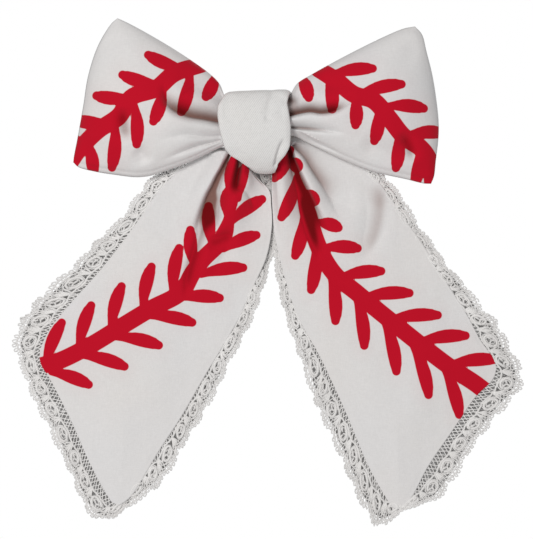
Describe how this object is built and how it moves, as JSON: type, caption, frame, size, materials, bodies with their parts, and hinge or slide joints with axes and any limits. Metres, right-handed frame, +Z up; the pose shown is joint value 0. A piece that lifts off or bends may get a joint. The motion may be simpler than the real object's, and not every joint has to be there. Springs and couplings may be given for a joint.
{
  "type": "hair bow",
  "caption": "Puffed cloth hair bow with a printed laced-stitch pattern, slant-ended tails edged in scalloped lace, a wrapped knot and a spring barrette on the back.",
  "frame": {"origin": "middle of the clip's grip gap, where the hair lies", "axes": "bow as worn: +X to the viewer's right, +Z up, front of the bow towards -Y and the wearer's head towards +Y"},
  "size_m": [0.2027, 0.0319, 0.2023],
  "materials": {
    "printed_cloth": "matt woven polyester with a red print",
    "white_band": "matt white knit",
    "lace": "soft sheen white lace",
    "thread": "white sewing thread",
    "clip_steel": "nickel-plated stamped spring steel"
  },
  "bodies": {
    "bow": {"barrette_anchor_stitches": "thread", "barrette_base": "clip_steel", "barrette_hinge_pin": "clip_steel", "cinch_thread": "thread", "knot_band": "white_band", "knot_closing_stitches": "thread", "loops_back_panel": "printed_cloth", "loops_front_panel": "printed_cloth", "loops_seam_thread": "thread", "tail_left_back_panel": "printed_cloth", "tail_left_front_panel": "printed_cloth", "tail_left_lace": "lace", "tail_left_seam_thread": "thread", "tail_right_back_panel": "printed_cloth", "tail_right_front_panel": "printed_cloth", "tail_right_lace": "lace", "tail_right_seam_thread": "thread", "topstitch_left": "thread", "topstitch_right": "thread"},
    "clip_arm": {"barrette_arm": "clip_steel"},
    "clip_spring_bar": {"barrette_spring_bar": "clip_steel"}
  },
  "joints": [
    {"name": "arm_hinge", "type": "hinge", "parent": "bow", "child": "clip_arm", "pos_m": [0.0336, 0, 0], "axis": [0, 0, -1], "range_deg": [0, 75]},
    {"name": "spring_bar_hinge", "type": "hinge", "parent": "bow", "child": "clip_spring_bar", "pos_m": [0.0336, 0, 0], "axis": [0, 0, -1], "range_deg": [0, 6]}
  ],
  "couplings": [
    {"joint": "spring_bar_hinge", "follows": "arm_hinge", "ratio": 0.08}
  ]
}
